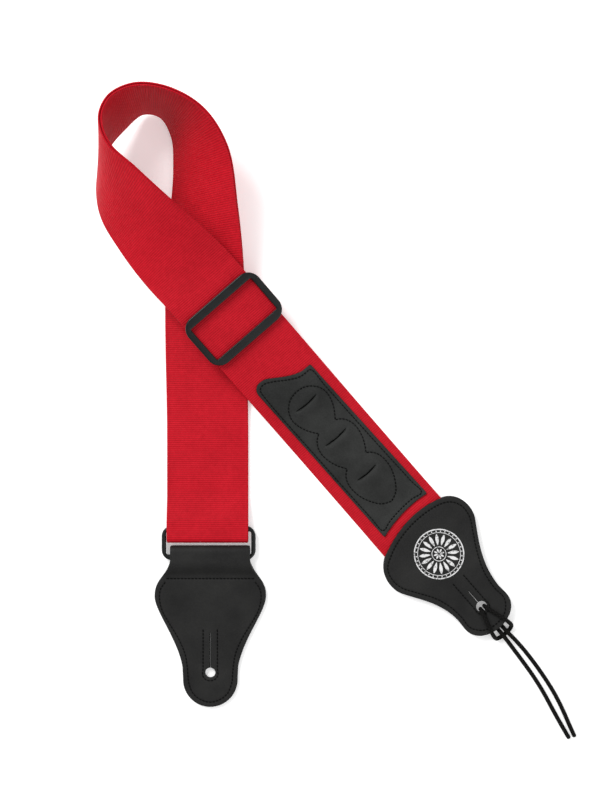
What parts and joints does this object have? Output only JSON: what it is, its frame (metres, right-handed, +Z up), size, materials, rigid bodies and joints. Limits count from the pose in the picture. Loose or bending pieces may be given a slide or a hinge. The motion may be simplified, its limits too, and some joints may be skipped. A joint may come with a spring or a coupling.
{
  "type": "guitar strap",
  "caption": "Adjustable webbing guitar strap with leather end tabs, slider, ring, pick holder and neck cord, lying folded over in a loop.",
  "frame": {"origin": "centre of the strap's bounding box (neck cord left out) on the table it lies on", "axes": "+Z up from the table, +Y along the straight button leg away from its leather tab, +X to the right, towards the neck tab"},
  "size_m": [0.2937, 0.3944, 0.0627],
  "materials": {
    "webbing": "coarse ribbed nylon webbing, red",
    "leather": "fine grained black leather, satin",
    "slider_plastic": "black moulded nylon, satin",
    "ring_plastic": "black moulded nylon, satin",
    "thread": "black sewing thread",
    "red_thread": "red sewing thread",
    "cord": "black braided cord"
  },
  "bodies": {
    "strap": {"webbing_main_run": "webbing", "webbing_return_run": "webbing", "neck_tab_front": "leather", "neck_tab_backing": "leather", "neck_tab_edge_seam": "thread", "neck_tab_hole_seam": "thread", "pick_holder": "leather", "pick_holder_edge_seam": "thread", "pick_pocket_seam": "thread", "cord_hitch": "cord", "cord_tail_a": "cord", "cord_tail_b": "cord"},
    "slider": {"slider_frame": "slider_plastic", "webbing_end_loop": "webbing", "webbing_end_seam": "red_thread"},
    "ring": {"ring": "ring_plastic"},
    "button_tab": {"button_tab_front": "leather", "button_tab_backing": "leather", "button_tab_edge_seam": "thread", "button_tab_fold_seam": "thread", "button_tab_hole_seam": "thread"}
  },
  "joints": [
    {"name": "slider_slide", "type": "slide", "parent": "strap", "child": "slider", "axis": [0.6433, -0.7401, -0.1961], "range_m": [0, 0.018]},
    {"name": "ring_hinge", "type": "hinge", "parent": "strap", "child": "ring", "pos_m": [-0.05984, -0.07724, 0.00355], "axis": [-1, 0, 0], "range_deg": [0, 85]},
    {"name": "button_tab_hinge", "type": "hinge", "parent": "ring", "child": "button_tab", "pos_m": [-0.05984, -0.09494, 0.00355], "axis": [-1, 0, 0], "range_deg": [0, 75]}
  ]
}
